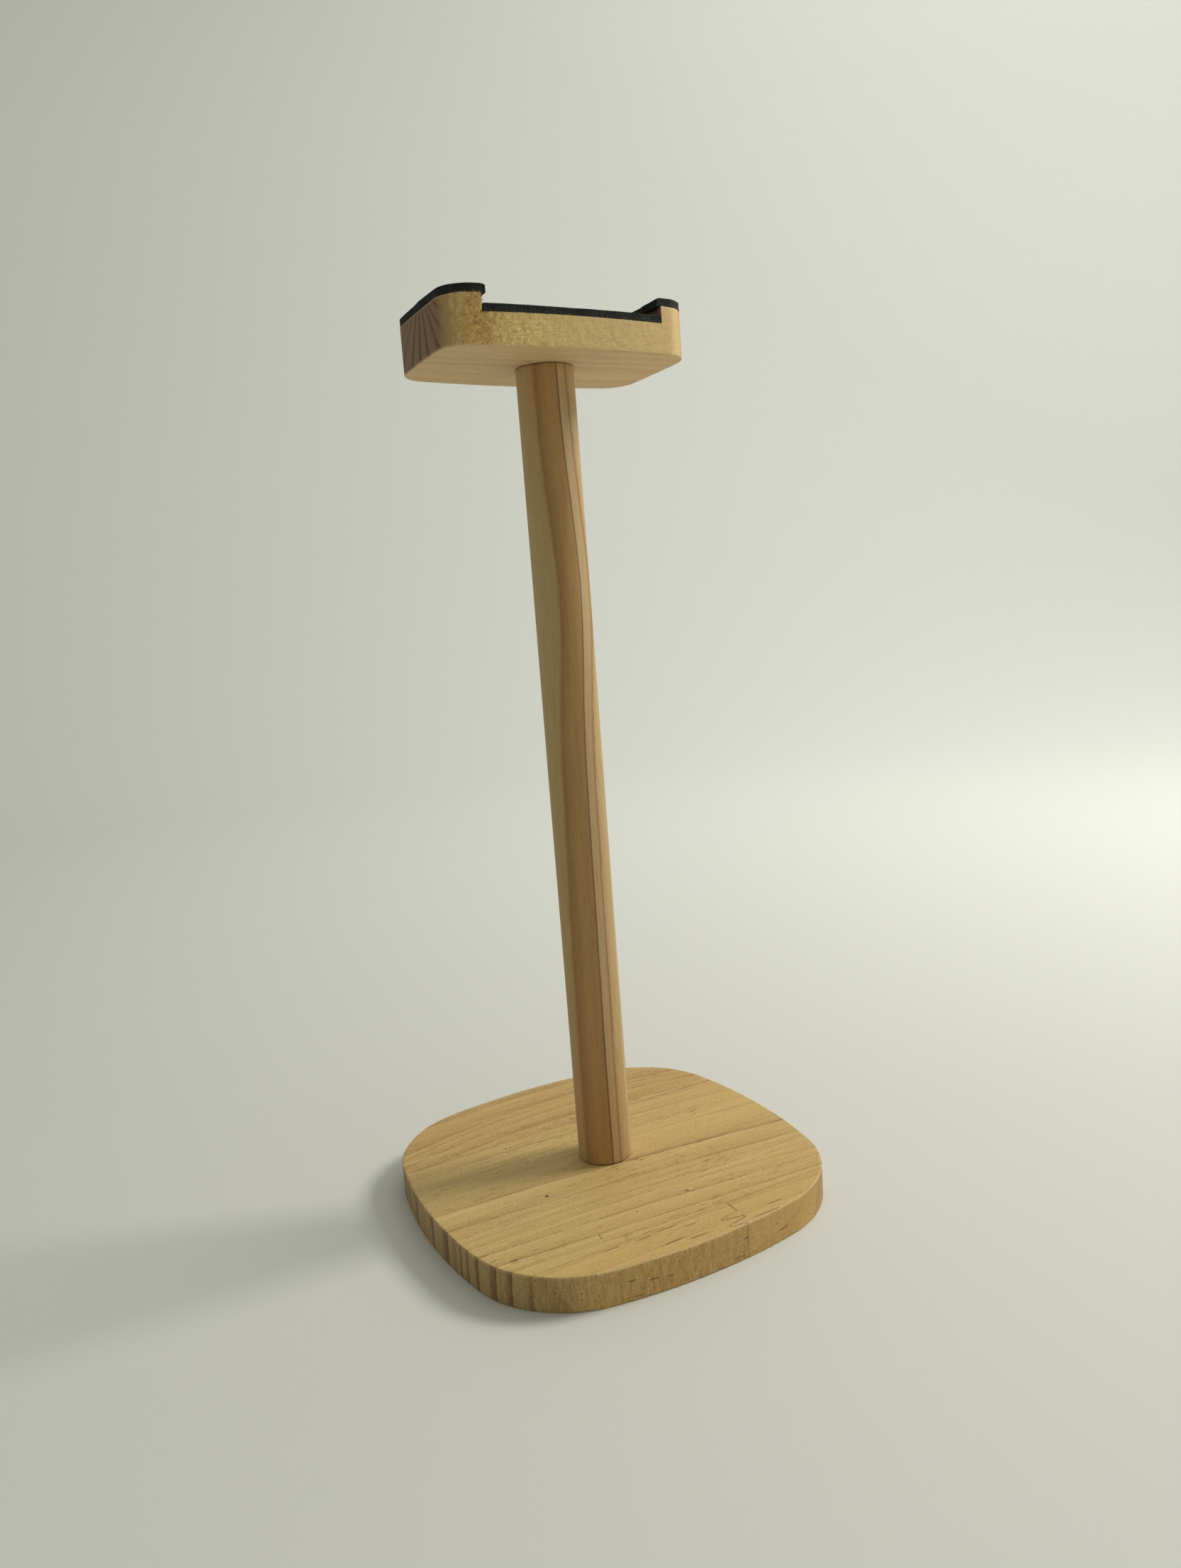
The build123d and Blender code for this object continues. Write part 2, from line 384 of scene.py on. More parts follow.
def line_rings(lines, half_length, face_z, lean, apex=None):
    """Gives a function from points to growth-ring counts, one more at each line towards the front, and how
    bold the nearest line is.

    The lines are those on the face at face_z of a board that reaches half_length each way. lean is how far
    they move to the front per millimetre up. With an apex (y, z) they also draw together towards it."""

    def rings(points):
        x, y, z = np.asarray(points, float).T
        y = y + lean * (face_z - z) + wave(points, (0.012, 0.05, 0.05), 7.3) * 0.5
        if apex:
            y = apex[0] + (y - apex[0]) * (apex[1] - face_z) / (apex[1] - z)
        along = np.clip(x / half_length, -1, 1)
        at = [
            middle + (right - left) / 2 * along + ((left + right) / 2 - middle) * along**2
            for _, _, left, middle, right in lines
        ]
        count = sum(np.clip((near - y) / (near - far), 0, 1) for near, far in zip(at, at[1:]))
        order = np.arange(len(lines))
        left = np.interp(count, order, [line[0] for line in lines])
        right = np.interp(count, order, [line[1] for line in lines])
        return count, left + (right - left) * (along + 1) / 2

    return rings


# ---- the base

GLUE_GROOVE = 0.12
GLUE_HALF_WIDTH = 0.18


def finger_x(y):
    """Where the finger joint crosses X at each y of the front strip."""
    places, xs = zip(*FINGER_CORNERS)
    return np.interp(y, places, xs)


def finger_corners():
    """Corners (y, x) of the finger joint's zigzag, from beyond the front edge to the glue line."""
    flank = FINGER_PITCH / 2 - FINGER_TIP
    tip = -BASE_HALF + FINGER_FROM_FRONT
    runout = tip - (FINGER_RUNOUT_X - FINGER_TIP_X) * flank / (FINGER_ROOT_X - FINGER_TIP_X)
    corners = [(-BASE_HALF - 1, FINGER_RUNOUT_X), (runout, FINGER_RUNOUT_X)]
    for _ in range(2):
        corners += [
            (tip, FINGER_TIP_X),
            (tip + FINGER_TIP, FINGER_TIP_X),
            (tip + FINGER_TIP + flank, FINGER_ROOT_X),
            (tip + FINGER_PITCH - flank, FINGER_ROOT_X),
        ]
        tip += FINGER_PITCH
    return corners[:-1] + [(FRONT_GLUE_Y + 1, FINGER_ROOT_X)]


FINGER_CORNERS = finger_corners()


def glue_lines(x, y):
    """How near each point is to a glue line, from 0 to 1: faint on the long lines, strong on the fingers."""
    long_line = np.minimum(np.abs(y - FRONT_GLUE_Y), np.abs(y - REAR_GLUE_Y))
    step = 0.02
    slope = (finger_x(y + step) - finger_x(y - step)) / (2 * step)
    finger = np.abs(x - finger_x(y)) / np.hypot(1, slope)
    finger = np.where(y < FRONT_GLUE_Y + 0.02, finger, 9.0)
    return np.maximum(
        0.6 * np.exp(-((long_line / GLUE_HALF_WIDTH) ** 2)),
        np.exp(-((finger / GLUE_HALF_WIDTH) ** 2)),
    )


def graded(fine, full, count):
    """How a row is divided: finely by its ends and evenly between, as a function of its length. Rows
    shorter than full have their fine steps shortened too."""

    def columns(length):
        near = np.array(fine) * min(1.0, length / full)
        inner = near[-1] + (length - 2 * near[-1]) * np.linspace(0, 1, count)[1:-1]
        return np.concatenate([near, inner, length - near[::-1]]) / max(length, 1e-9)

    return columns


base_columns = graded((0, 0.03, 0.08, 0.15, 0.24, 0.34, 0.48, 0.7, 1.1), 6, 100)
saddle_columns = graded((0, 0.03, 0.08, 0.15, 0.24, 0.36, 0.6, 1.0), 5, 62)


def stave(name, y_range, sides, rings, sawn, material, fine_rows, cut=None):
    """One strip of the base, between two places along Y and two side curves.

    sawn is how rough the saw left its front wall."""
    rows = np.unique(np.concatenate([base_outline.rows(0.45), spaced(*y_range, 0.42, fine_rows)]))
    rows = rows[(rows >= y_range[0] - 1e-9) & (rows <= y_range[1] + 1e-9)]
    rows = thinned(rows, 0.003, keep_last=True)

    def top(u, v, height):
        radius = BASE_EASE + 0.12 * wave(np.stack([v, u, v * 0], 1), (0.12, 0.12, 0), 5.0)
        return BASE_TOP - eased(base_outline.depth(v, u), radius)

    def bottom(u, v, height):
        return eased(base_outline.depth(v, u), BASE_EASE)

    def shape(points):
        x, y, z = points.T
        count, bold = rings(points)
        depth = base_outline.depth(x, y)
        facing_y = np.abs(base_outline.outward(x, y)[1])
        on_top = np.clip((z - BASE_TOP + 0.5) / 0.4, 0, 1)
        # The walls: long waves from sanding, and upright saw marks where they face the front or the rear
        rim = np.clip(1 - depth / 0.5, 0, 1)
        marks = wave(points, (0.7, 0.7, 0.09), 3.1) * 0.05 + wave(points, (1.9, 1.9, 0.3), 4.7) * 0.025
        push = rim * (marks * facing_y * sawn + wave(points, (0.06, 0.06, 0.1), 9.0) * 0.05)
        # The top: late wood stands a little proud, and glue lines are slightly sunk
        glue = glue_lines(x, y) * np.clip(0.7 + 0.5 * wave(points, (0.3, 0.3, 0.1), 21.0), 0.3, 1)
        proud = 0.03 * bold * np.mod(count, 1.0) ** 2 + 0.012 * wave(points, (0.05, 1.1, 0), 11.0) - 0.02
        moved = base_outline.pushed(points, push)
        moved[:, 2] += on_top * (proud - GLUE_GROOVE * glue)
        # Painted highlight along the top's eased edges, which the material paints paler
        edge = np.clip(1 - np.abs(depth - 0.12) / 0.3, 0, 1) * (on_top > 0.02)
        rough = np.full_like(x, sawn)
        return moved, {"ring": count, "bold": bold, "glue": glue, "edge": edge, "sawn": rough}

    levels = np.linspace(0.8, BASE_TOP - 0.9, 9)
    points, faces = plate([(y, 0) for y in rows], sides, base_columns, top, bottom, levels)
    mesh = mesh_of(name + "_sanded", points[:, [1, 0, 2]], faces)
    return make_piece(name + "_sanded", carved(mesh, cut) if cut else mesh, shape, material, [name])


# The screw's countersunk seat: radii of its mouth and throat, its depth, and how far it starts below
SEAT_WIDE, SEAT_NARROW, SEAT_DEPTH, SEAT_BELOW = 6.65, 2.75, 3.9, 1.0


def screw_seat():
    """Cutter for the countersunk screw's seat in the base's underside."""
    cutter = bpy.data.meshes.new("screw_seat")
    work = bmesh.new()
    wide, narrow = SEAT_WIDE * MM, SEAT_NARROW * MM
    size = {"segments": 96, "radius1": wide, "radius2": narrow, "depth": SEAT_DEPTH * MM}
    bmesh.ops.create_cone(work, cap_ends=True, **size)
    bmesh.ops.translate(work, verts=work.verts, vec=(0, 0, (SEAT_DEPTH / 2 - SEAT_BELOW) * MM))
    work.to_mesh(cutter)
    work.free()
    return cutter


def left_of_joint(y):
    low, high = base_outline.ends(y)
    return low, min(high, float(finger_x(y)))


def right_of_joint(y):
    high = base_outline.ends(y)[1]
    return min(high, float(finger_x(y))), high


# ---- the post


def post_rings(points):
    """Ring count across the dowel, and how bold its lines are: a soft change of colour, a sharp dark line,
    and a fainter one beyond. They bulge together where a knot was near."""
    x, y, z = np.asarray(points, float).T
    turn = math.radians(-32)
    across = x * math.cos(turn) + y * math.sin(turn) + wave(points, (0.1, 0.1, 0.02), 31.0) * 0.2
    bulge = np.exp(-(((z - 170) / 28) ** 2))
    low = np.clip((150 - z) / 110, 0, 1)
    sharp = 4.2 + 1.7 * bulge - 1.0 * low
    soft = -2.6 + 2.45 * bulge - 2.1 * low
    cream = np.clip((across - soft + 7) / 6.5, 0, 1) * 0.33
    turning = np.clip((across - soft + 0.5) / 1.0, 0, 1) * 0.14
    brown = np.clip((across - soft - 0.5) / (sharp - soft - 0.5), 0, 1) * 0.53
    beyond = np.clip((across - sharp) / 4.0, 0, 1.6)
    return cream + turning + brown + beyond, np.where(across > sharp + 2, 0.3, 1.0)


def build_post(material):
    """Round dowel with slightly eased ends; its surface is faintly uneven."""
    around, pitch, ease = 120, 1.0, 0.25
    z_low, z_high = post_low[2], post_high[2]
    inner = np.arange(z_low + 1.2, z_high - 1.2, pitch)
    eases = np.array([0, ease, 2 * ease])
    heights = np.concatenate([z_low + eases, inner, z_high - eases[::-1]])
    profile = [(POST_RADIUS - (ease if z in (z_low, z_high) else 0), z) for z in heights]
    points, faces = revolved(profile, around)
    last = len(points) - around
    faces += [tuple(range(around))[::-1], tuple(range(last, last + around))]

    def shape(points):
        x, y, z = points.T
        count, bold = post_rings(points)
        swell = wave(points, (0.12, 0.12, 0.012), 41.0) * 0.05 + wave(points, (0.7, 0.7, 0.03), 43.0) * 0.012
        scale = 1 + swell / POST_RADIUS
        gap = np.minimum(z - z_low, z_high - z)
        moved = np.stack([x * scale, y * scale, z], 1)
        # Painted contact shade: darker within about a third of a millimetre of each end, where the post meets
        # the base and the saddle, on the same attribute as the base's glue lines
        return moved, {"ring": count, "bold": bold, "glue": 0.7 * np.exp(-gap / 0.35)}

    mesh = mesh_of("post_turned", points, faces)
    return make_piece("post_turned", mesh, shape, material, ["post"])


# ---- the saddle

# How torn the front's fibres are at places along X: most at its left corner, under the ear
TORN_PLACES = (-34.2, -33.2, -31, -25.5, -21, -14, -6, 6, 24)
TORN_AMOUNTS = (0.0, 0.4, 1.0, 1.0, 0.5, 0.36, 0.2, 0.14, 0.1)


def torn(points):
    """How torn the fibres are at each point, fading out towards the rear."""
    x, y, _ = points.T
    return np.interp(x, TORN_PLACES, TORN_AMOUNTS) * np.clip((-y - 15) / 4, 0, 1)


def build_saddle(material):
    """The saddle's block: eased outer edges, a channel across it and torn fibres along the front."""
    rings = line_rings(SADDLE_LINES, SADDLE_HALF_LENGTH, SADDLE_BOTTOM, 0, apex=(-3.0, SADDLE_TOP + 5))
    lower_levels = np.linspace(SADDLE_BOTTOM + 0.7, CHANNEL_FLOOR, 16)
    upper_levels = np.linspace(CHANNEL_FLOOR, SADDLE_TOP - 0.7, 9)
    places = np.unique(np.concatenate([saddle_across.rows(0.38), spaced(-CHANNEL_HALF, CHANNEL_HALF, 0.38)]))
    rows = []
    for place in thinned(places, 0.004):
        on_wall = abs(abs(place) - CHANNEL_HALF) < 1e-6
        in_channel = abs(place) < CHANNEL_HALF
        if not on_wall:
            rows.append((place, CHANNEL_FLOOR if in_channel else SADDLE_TOP))
            continue
        climb = [(place, level) for level in (SADDLE_TOP, *upper_levels[:0:-1], CHANNEL_FLOOR)]
        rows += climb if place < 0 else climb[::-1]

    def top(u, v, height):
        if height < SADDLE_TOP:
            return np.full_like(v, height)
        return height - eased(saddle_across.depth(v, u), SADDLE_EASE)

    def bottom(u, v, height):
        return SADDLE_BOTTOM + eased(saddle_across.depth(v, u), SADDLE_EASE)

    def shape(points):
        x, y, z = points.T
        count, bold = rings(points)
        depth = saddle_outline.depth(x, y)
        rim = np.clip(1 - depth / 0.5, 0, 1)
        rough = torn(points)
        tufts = wave(points, (0.75, 0.75, 1.0), 51.0) * 0.20 + wave(points, (2.0, 2.0, 1.4), 53.0) * 0.12
        gouges = -np.clip(wave(points, (0.35, 0.35, 0.6), 57.0) - 0.35, 0, 1) * 0.35
        push = rim * (wave(points, (0.07, 0.07, 0.12), 59.0) * 0.05 + rough * (tufts + gouges))
        # Painted highlight along the eased edges at the top, the bottom and the channel's floor, more than
        # twice as strong on the loose fibres
        edge = np.clip(1 - np.abs(depth - 0.1) / 0.3, 0, 1)
        by_channel = (np.abs(z - CHANNEL_FLOOR) < 0.3) & (np.abs(x) < CHANNEL_HALF)
        edge = edge * ((z < SADDLE_BOTTOM + 0.5) | (z > SADDLE_TOP - 0.5) | by_channel)
        loose = depth < -0.02
        push = np.where(loose, 0, push)
        attributes = {"ring": count, "bold": bold}
        attributes.update({"edge": np.where(loose, 2.2, 1.5 * edge), "torn": np.maximum(rough * rim, loose)})
        return saddle_outline.pushed(points, push), attributes

    levels = np.unique(np.concatenate([lower_levels, upper_levels]))
    block, block_faces = plate(rows, saddle_across.ends, saddle_columns, top, bottom, levels)
    fibres, fibre_faces = loose_fibres()
    faces = block_faces + [tuple(i + len(block) for i in face) for face in fibre_faces]
    mesh = mesh_of("saddle_block", np.concatenate([block, fibres]), faces)
    return make_piece("saddle_block", mesh, shape, material, ["saddle"])


def fibre(points, start, direction, length, width, droop, rng):
    """One torn fibre, a thin tapered strand of three sides: adds its points and returns its faces."""
    direction = direction.normalized()
    side = direction.cross(Vector([rng.uniform(-1, 1) for _ in range(3)])).normalized()
    other = direction.cross(side)
    bend = side * droop
    segments, first = 4, len(points)
    for s in range(segments):
        t = s / segments
        centre = start + direction * length * t + bend * (t * t * length)
        radius = width * (1 - 0.75 * t)
        for k in range(3):
            angle = 2 * math.pi * k / 3
            points.append(centre + side * (radius * math.cos(angle)) + other * (radius * math.sin(angle)))
    tip = len(points)
    points.append(start + direction * length + bend * length)
    corners = [(first + 3 * s + k, first + 3 * s + (k + 1) % 3) for s in range(segments) for k in range(3)]
    walls = [(a, b, b + 3, a + 3) for a, b in corners[:-3]]
    return walls + [(a, b, tip) for a, b in corners[-3:]] + [(first + 2, first + 1, first)]


def on_saddle_edge(x, side):
    """Point of the saddle's outline at x, on the front (side -1) or the rear (side 1)."""
    return side * saddle_across.ends(x)[1]


# Loose fibres: how many over the front, how many of those at its torn corner, and how many on the ear's
# edge. Then those along each edge: height, start and stop along X, side (-1 for the front) and number.
FRONT_FIBRES, CORNER_FIBRES, EAR_FIBRES = 1200, 850, 16
EDGE_FIBRES = (
    (CHANNEL_FLOOR, -24.6, 20, -1, 60),
    (SADDLE_BOTTOM + 0.1, -30, 26, -1, 70),
    (SADDLE_TOP - 0.1, -32, -25, -1, 26),
    (SADDLE_BOTTOM + 0.1, 20, 32.5, 1, 26),
    (SADDLE_TOP - 0.1, 25, 32, -1, 10),
)


def loose_fibres():
    """Fibres that the cutter left along the saddle's edges and over its torn front, as points and faces."""
    rng = random.Random(12)
    pick = rng.uniform
    points, faces = [], []
    for number in range(FRONT_FIBRES):
        corner = number < CORNER_FIBRES
        x = rng.triangular(-32.2, -18.5, -27.5) if corner else pick(-24, 24)
        z_high = SADDLE_TOP if abs(x) > CHANNEL_HALF else CHANNEL_FLOOR
        z = pick(SADDLE_BOTTOM + 0.4, z_high - 0.5)
        y = on_saddle_edge(x, -1)
        out_x, out_y = (float(v[0]) for v in saddle_outline.outward(np.array([x]), np.array([y])))
        start = Vector((x - out_x * 0.12, y - out_y * 0.12, z))
        steep = 2.0 if z > CHANNEL_FLOOR else 1.1 if corner else 0.25
        lie = Vector((pick(-1, 1), 0, pick(-1, 1) * steep)).normalized()
        lie += Vector((out_x, out_y, 0)) * 0.22
        length = pick(0.35, 1.1) if corner else pick(0.4, 1.2)
        width = pick(0.045, 0.11) if corner else pick(0.02, 0.04)
        curl = pick(-1.1, 1.1) if corner else pick(-0.4, 0.4)
        faces += fibre(points, start, lie, length, width, curl, rng)
    for height, low, high, side, count in EDGE_FIBRES:
        for _ in range(count):
            x = pick(low, high)
            y = on_saddle_edge(x, side)
            start = Vector((x, y - side * 0.08, height))
            lift = -1 if height < SADDLE_BOTTOM + 1 else 1
            lie = Vector((pick(-1.2, 1.2), side * pick(0.1, 0.8), lift * pick(0.0, 0.6)))
            length, width = pick(0.2, 0.65), pick(0.02, 0.045)
            faces += fibre(points, start, lie, length, width, pick(-0.6, 0.6), rng)
    for _ in range(EAR_FIBRES):
        z = pick(CHANNEL_FLOOR + 2.1, SADDLE_TOP)
        start = Vector((-CHANNEL_HALF, on_saddle_edge(-CHANNEL_HALF, -1) + pick(0, 0.3), z))
        lie = Vector((pick(0.1, 1), -pick(0.1, 0.6), pick(-0.8, 0.8)))
        length, width = pick(0.3, 0.9), pick(0.03, 0.06)
        faces += fibre(points, start, lie, length, width, pick(-0.8, 0.8), rng)
    return np.array([tuple(p) for p in points]), faces


# ---- the foam pads

FOAM_ROUND = 0.28


def build_pad(name, x_low, x_high, z_low, z_high, free_end, material, seed):
    """Foam cut by hand to the saddle's outline; free_end is the side that hangs over the channel, or 0."""
    places = np.concatenate([saddle_across.rows(0.45), spaced(x_low, x_high, 0.45, (x_low, x_high))])
    places = thinned(np.unique(places[(places >= x_low) & (places <= x_high)]), 0.004)

    def cut_depth(u, v):
        depth = saddle_across.depth(v, u)
        for end in (x_low, x_high):
            if abs(end) < SADDLE_HALF_LENGTH - 0.01:
                depth = np.minimum(depth, np.abs(u - end))
        return depth

    def top(u, v, height):
        at = np.stack([u, v, v * 0], 1)
        pillow = wave(at, (0.16, 0.16, 0), seed) * 0.05 + wave(at, (1.6, 1.6, 0), seed) * 0.012
        return z_high - 0.06 + pillow - eased(cut_depth(u, v), FOAM_ROUND)

    def bottom(u, v, height):
        return z_low + eased(cut_depth(u, v), 0.08)

    def shape(points):
        x, y, z = points.T
        depth = saddle_outline.depth(x, y)
        rim = np.clip(1 - depth / 0.8, 0, 1)
        height = (z - z_low) / (z_high - z_low)
        # The knife's line wanders, and the foam's side is a little hollow between its two skins
        wander = wave(points * (1, 1, 0), (0.22, 0.22, 0), seed + 3) * 0.16
        wander += wave(points, (1.3, 1.3, 0.5), seed) * 0.035
        push = rim * (wander - 0.1 * np.sin(np.pi * np.clip(height, 0, 1)))
        moved = saddle_outline.pushed(points, push)
        if free_end:
            over = np.clip((CHANNEL_HALF - np.abs(x)) / 1.2, 0, 1)
            moved[:, 2] -= 0.3 * over**2
            moved[:, 0] += free_end * over * wave(points * (0, 1, 0), (0, 0.35, 0), seed + 5) * 0.18
        return moved, {"cut": np.clip(1 - cut_depth(x, y) / 0.5, 0, 1)}

    levels = np.linspace(z_low + 0.25, z_high - 0.45, 5)
    points, faces = plate([(x, 0) for x in places], saddle_across.ends, saddle_columns, top, bottom, levels)
    mesh = mesh_of(name + "_foam", points, faces)
    piece = make_piece(name + "_foam", mesh, shape, material, [name])
    return piece


# ---- materials


def scattered(seed, number, x_range, y_range, half_length, half_width):
    """Small marks at chance places."""
    rng = random.Random(seed)
    ranges = (x_range, y_range, half_length, half_width, (0.6, 0.9))
    return tuple(tuple(rng.uniform(*limits) for limits in ranges) for _ in range(number))


# Small marks: x, y (or z on an upright face), half length, half width, how strong. The plainest ones have
# places of their own, and the rest are scattered: pits, pale chips, and dashes of resin in the front strip.
PITS = (
    (-25, -12, 0.5, 0.4, 1.0),
    (-22.5, -37.5, 0.3, 0.25, 0.8),
    (-20.5, -34, 0.25, 0.15, 0.8),
    (20.5, -34, 0.3, 0.2, 0.8),
    (7.5, -32, 0.75, 0.2, 0.8),
    (-23, 20, 0.3, 0.25, 0.9),
) + scattered(8, 8, (-45, 50), (-40, 20), (0.25, 0.32), (0.15, 0.22))
PALE_CHIPS = ((9, -31.5, 0.7, 0.3, 0.9),)
RESIN_DASHES = (
    (-23, -44.5, 2.0, 0.14, 0.8),
    (-14, -45, 2.2, 0.14, 0.7),
    (-7, -44.5, 2.6, 0.15, 0.8),
    (-1, -46.5, 1.6, 0.13, 0.7),
    (-8.5, -50.5, 2.5, 0.17, 0.9),
    (-2, -52, 2.7, 0.17, 0.9),
    (23, -50, 2.0, 0.15, 0.9),
    (18, -53, 3.8, 0.15, 0.9),
)
WALL_DASHES = scattered(3, 9, (-24, 24), (1, 6), (0.4, 1.5), (0.1, 0.18))


class Shader:
    """Adds nodes to one material, so that each material below reads as a few lines."""

    def __init__(self, name):
        self.material = bpy.data.materials.new(name)
        self.material.use_nodes = True
        self.tree = self.material.node_tree
        self.surface = self.tree.nodes["Principled BSDF"]
        self.place = self.add("ShaderNodeTexCoord").outputs["Object"]

    def feed(self, socket, value):
        if isinstance(value, bpy.types.NodeSocket):
            self.tree.links.new(value, socket)
        else:
            socket.default_value = value

    def add(self, kind, inputs=(), **settings):
        node = self.tree.nodes.new(kind)
        for key, value in settings.items():
            setattr(node, key, value)
        for key, value in dict(inputs).items():
            self.feed(node.inputs[key], value)
        return node

    def math(self, operation, *values):
        return self.add("ShaderNodeMath", enumerate(values), operation=operation).outputs[0]

    def times(self, a, b):
        return self.math("MULTIPLY", a, b)

    def vector(self, operation, *values):
        return self.add("ShaderNodeVectorMath", enumerate(values), operation=operation).outputs[0]

    def noise(self, scale, detail=2.0, roughness=0.5, distortion=0.0, place=None):
        """Noise over the object; scale is cycles per metre, one number or one for each axis."""
        stretch = scale if isinstance(scale, tuple) else (scale, scale, scale)
        values = {"Vector": self.vector("MULTIPLY", place or self.place, stretch), "Scale": 1.0}
        values |= {"Detail": detail, "Roughness": roughness, "Distortion": distortion}
        return self.add("ShaderNodeTexNoise", values).outputs["Fac"]

    def attribute(self, name):
        return self.add("ShaderNodeAttribute", attribute_name=name).outputs["Fac"]

    def between(self, value, low, high, out_low=0.0, out_high=1.0):
        """Smooth step of value from low to high, clamped, as out_low to out_high."""
        values = {0: value, 1: low, 2: high, 3: out_low, 4: out_high}
        return self.add("ShaderNodeMapRange", values, interpolation_type="SMOOTHSTEP").outputs[0]

    def ramp(self, factor, stops):
        node = self.add("ShaderNodeValToRGB", {"Fac": factor})
        elements = node.color_ramp.elements
        while len(elements) < len(stops):
            elements.new(0.5)
        for element, (position, colour) in zip(elements, stops):
            element.position = position
            element.color = (*colour, 1)
        return node.outputs["Color"]

    def mix(self, factor, a, b, blend="MIX"):
        node = self.add("ShaderNodeMix", {0: factor}, data_type="RGBA", blend_type=blend)
        self.feed(node.inputs[6], (*a, 1) if isinstance(a, tuple) else a)
        self.feed(node.inputs[7], (*b, 1) if isinstance(b, tuple) else b)
        return node.outputs[2]

    def shade(self, colour, factor, tint):
        """Colour multiplied by a tint where factor is 1."""
        return self.mix(factor, colour, tint, "MULTIPLY")

    def stain(self, colour, texture, low, high, strength, tint, mask=None, blend="MULTIPLY"):
        """Colour tinted where the texture runs from low to high, and only where the mask is."""
        factor = self.between(texture, low, high, 0.0, strength)
        if mask is not None:
            factor = self.times(mask, factor)
        return self.mix(factor, colour, tint, blend)

    def bump(self, height, distance, strength=1.0, normal=None):
        values = {"Height": height, "Distance": distance, "Strength": strength}
        if normal is not None:
            values["Normal"] = normal
        return self.add("ShaderNodeBump", values).outputs[0]

    def spots(self, marks, facing, upright=False):
        """How strong the marks are at each place: ragged ellipses in millimetres, on faces that look up
        or, when upright, on those that look to the front."""
        ragged = self.times(self.math("SUBTRACT", self.noise(1800, 2), 0.5), 0.9)
        towards = self.times(facing[1], -1.0) if upright else self.times(facing[2], 1.0)
        seen = self.between(towards, 0.5, 0.9)
        total = 0.0
        for along, across, half_length, half_width, strength in marks:
            centre = (along * MM, 0, across * MM) if upright else (along * MM, across * MM, 0)
            longways, sideways = 1 / (half_length * MM), 1 / (half_width * MM)
            stretch = (longways, 0, sideways) if upright else (longways, sideways, 0)
            offset = self.vector("MULTIPLY", self.vector("SUBTRACT", self.place, centre), stretch)
            length = self.add("ShaderNodeVectorMath", {0: offset}, operation="LENGTH").outputs["Value"]
            spot = self.between(self.math("ADD", length, ragged), 1.3, 0.75, 0.0, strength)
            total = self.math("MAXIMUM", total, spot)
        return self.times(total, seen)

    def finish(self, colour=None, roughness=None, normal=None, **constants):
        for key, value in (("Base Color", colour), ("Roughness", roughness), ("Normal", normal)):
            if value is not None:
                self.feed(self.surface.inputs[key], value)
        for key, value in constants.items():
            self.surface.inputs[key.replace("_", " ")].default_value = value
        return self.material


def sawn_walls(s, wall, facing, colour, relief):
    """Upright marks that the saw left on the base's walls, with torn specks between them."""
    strokes = s.noise((1500, 1500, 260), 5.0, 0.75, 0.5)
    tufts = s.noise((1600, 1600, 900), 2.0, 0.6)
    colour = s.stain(colour, strokes, 0.42, 0.62, 0.7, (0.74, 0.63, 0.52), wall)
    colour = s.stain(colour, strokes, 0.44, 0.32, 0.35, (0.74, 0.55, 0.30), wall, "MIX")
    colour = s.stain(colour, tufts, 0.64, 0.72, 0.8, (0.42, 0.32, 0.22), wall)
    upright = s.between(s.math("ABSOLUTE", facing[2]), 0.6, 0.3)
    colour = s.shade(colour, upright, (1.0, 0.96, 0.94))
    relief = s.bump(s.times(s.math("ADD", strokes, tufts), wall), 0.00026, 1.0, relief)
    return colour, relief


